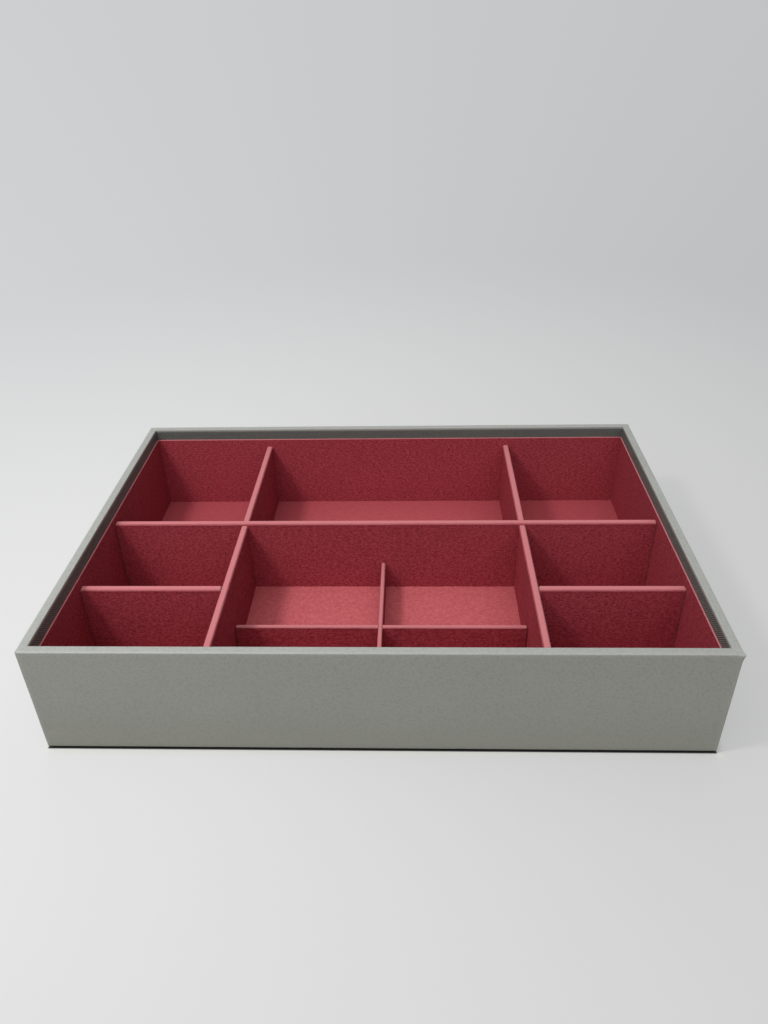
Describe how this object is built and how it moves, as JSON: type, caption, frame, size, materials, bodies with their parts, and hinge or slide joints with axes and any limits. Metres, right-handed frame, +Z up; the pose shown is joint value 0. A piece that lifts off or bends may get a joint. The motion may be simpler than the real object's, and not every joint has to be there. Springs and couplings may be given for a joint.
{
  "type": "stackable jewellery tray",
  "caption": "Open leatherette covered tray with suede lining, lapped dividers and a low lift-out cross divider, shaped to stack on trays of the same size.",
  "frame": {"origin": "on the table under the middle of the tray, at the underside of the foot felt", "axes": "+X to the right along the long side, +Y to the rear, +Z up"},
  "size_m": [0.36, 0.25, 0.07],
  "materials": {
    "leatherette": "fine grained grey leatherette, satin",
    "suede_lining": "deep rose suede lining paper, matt",
    "board": "raw fibreboard",
    "foot_card": "dark card",
    "felt": "dark felt"
  },
  "bodies": {
    "tray": {"front_board": "board", "rear_board": "board", "left_board": "board", "right_board": "board", "base_board": "board", "leatherette_wrap": "leatherette", "foot_panel": "foot_card", "foot_felt": "felt", "floor_lining": "suede_lining", "front_liner": "suede_lining", "rear_liner": "suede_lining", "left_liner": "suede_lining", "right_liner": "suede_lining", "main_divider_core": "board", "main_divider_cover": "suede_lining", "left_long_divider_core": "board", "left_long_divider_cover": "suede_lining", "right_long_divider_core": "board", "right_long_divider_cover": "suede_lining", "left_cross_divider_core": "board", "left_cross_divider_cover": "suede_lining", "right_cross_divider_core": "board", "right_cross_divider_cover": "suede_lining"},
    "insert": {"insert_long_core": "board", "insert_long_cover": "suede_lining", "insert_cross_core": "board", "insert_cross_cover": "suede_lining"}
  },
  "joints": [
    {"name": "insert_lift", "type": "slide", "parent": "tray", "child": "insert", "axis": [0, 0, 1], "range_m": [0, 0.075]}
  ]
}
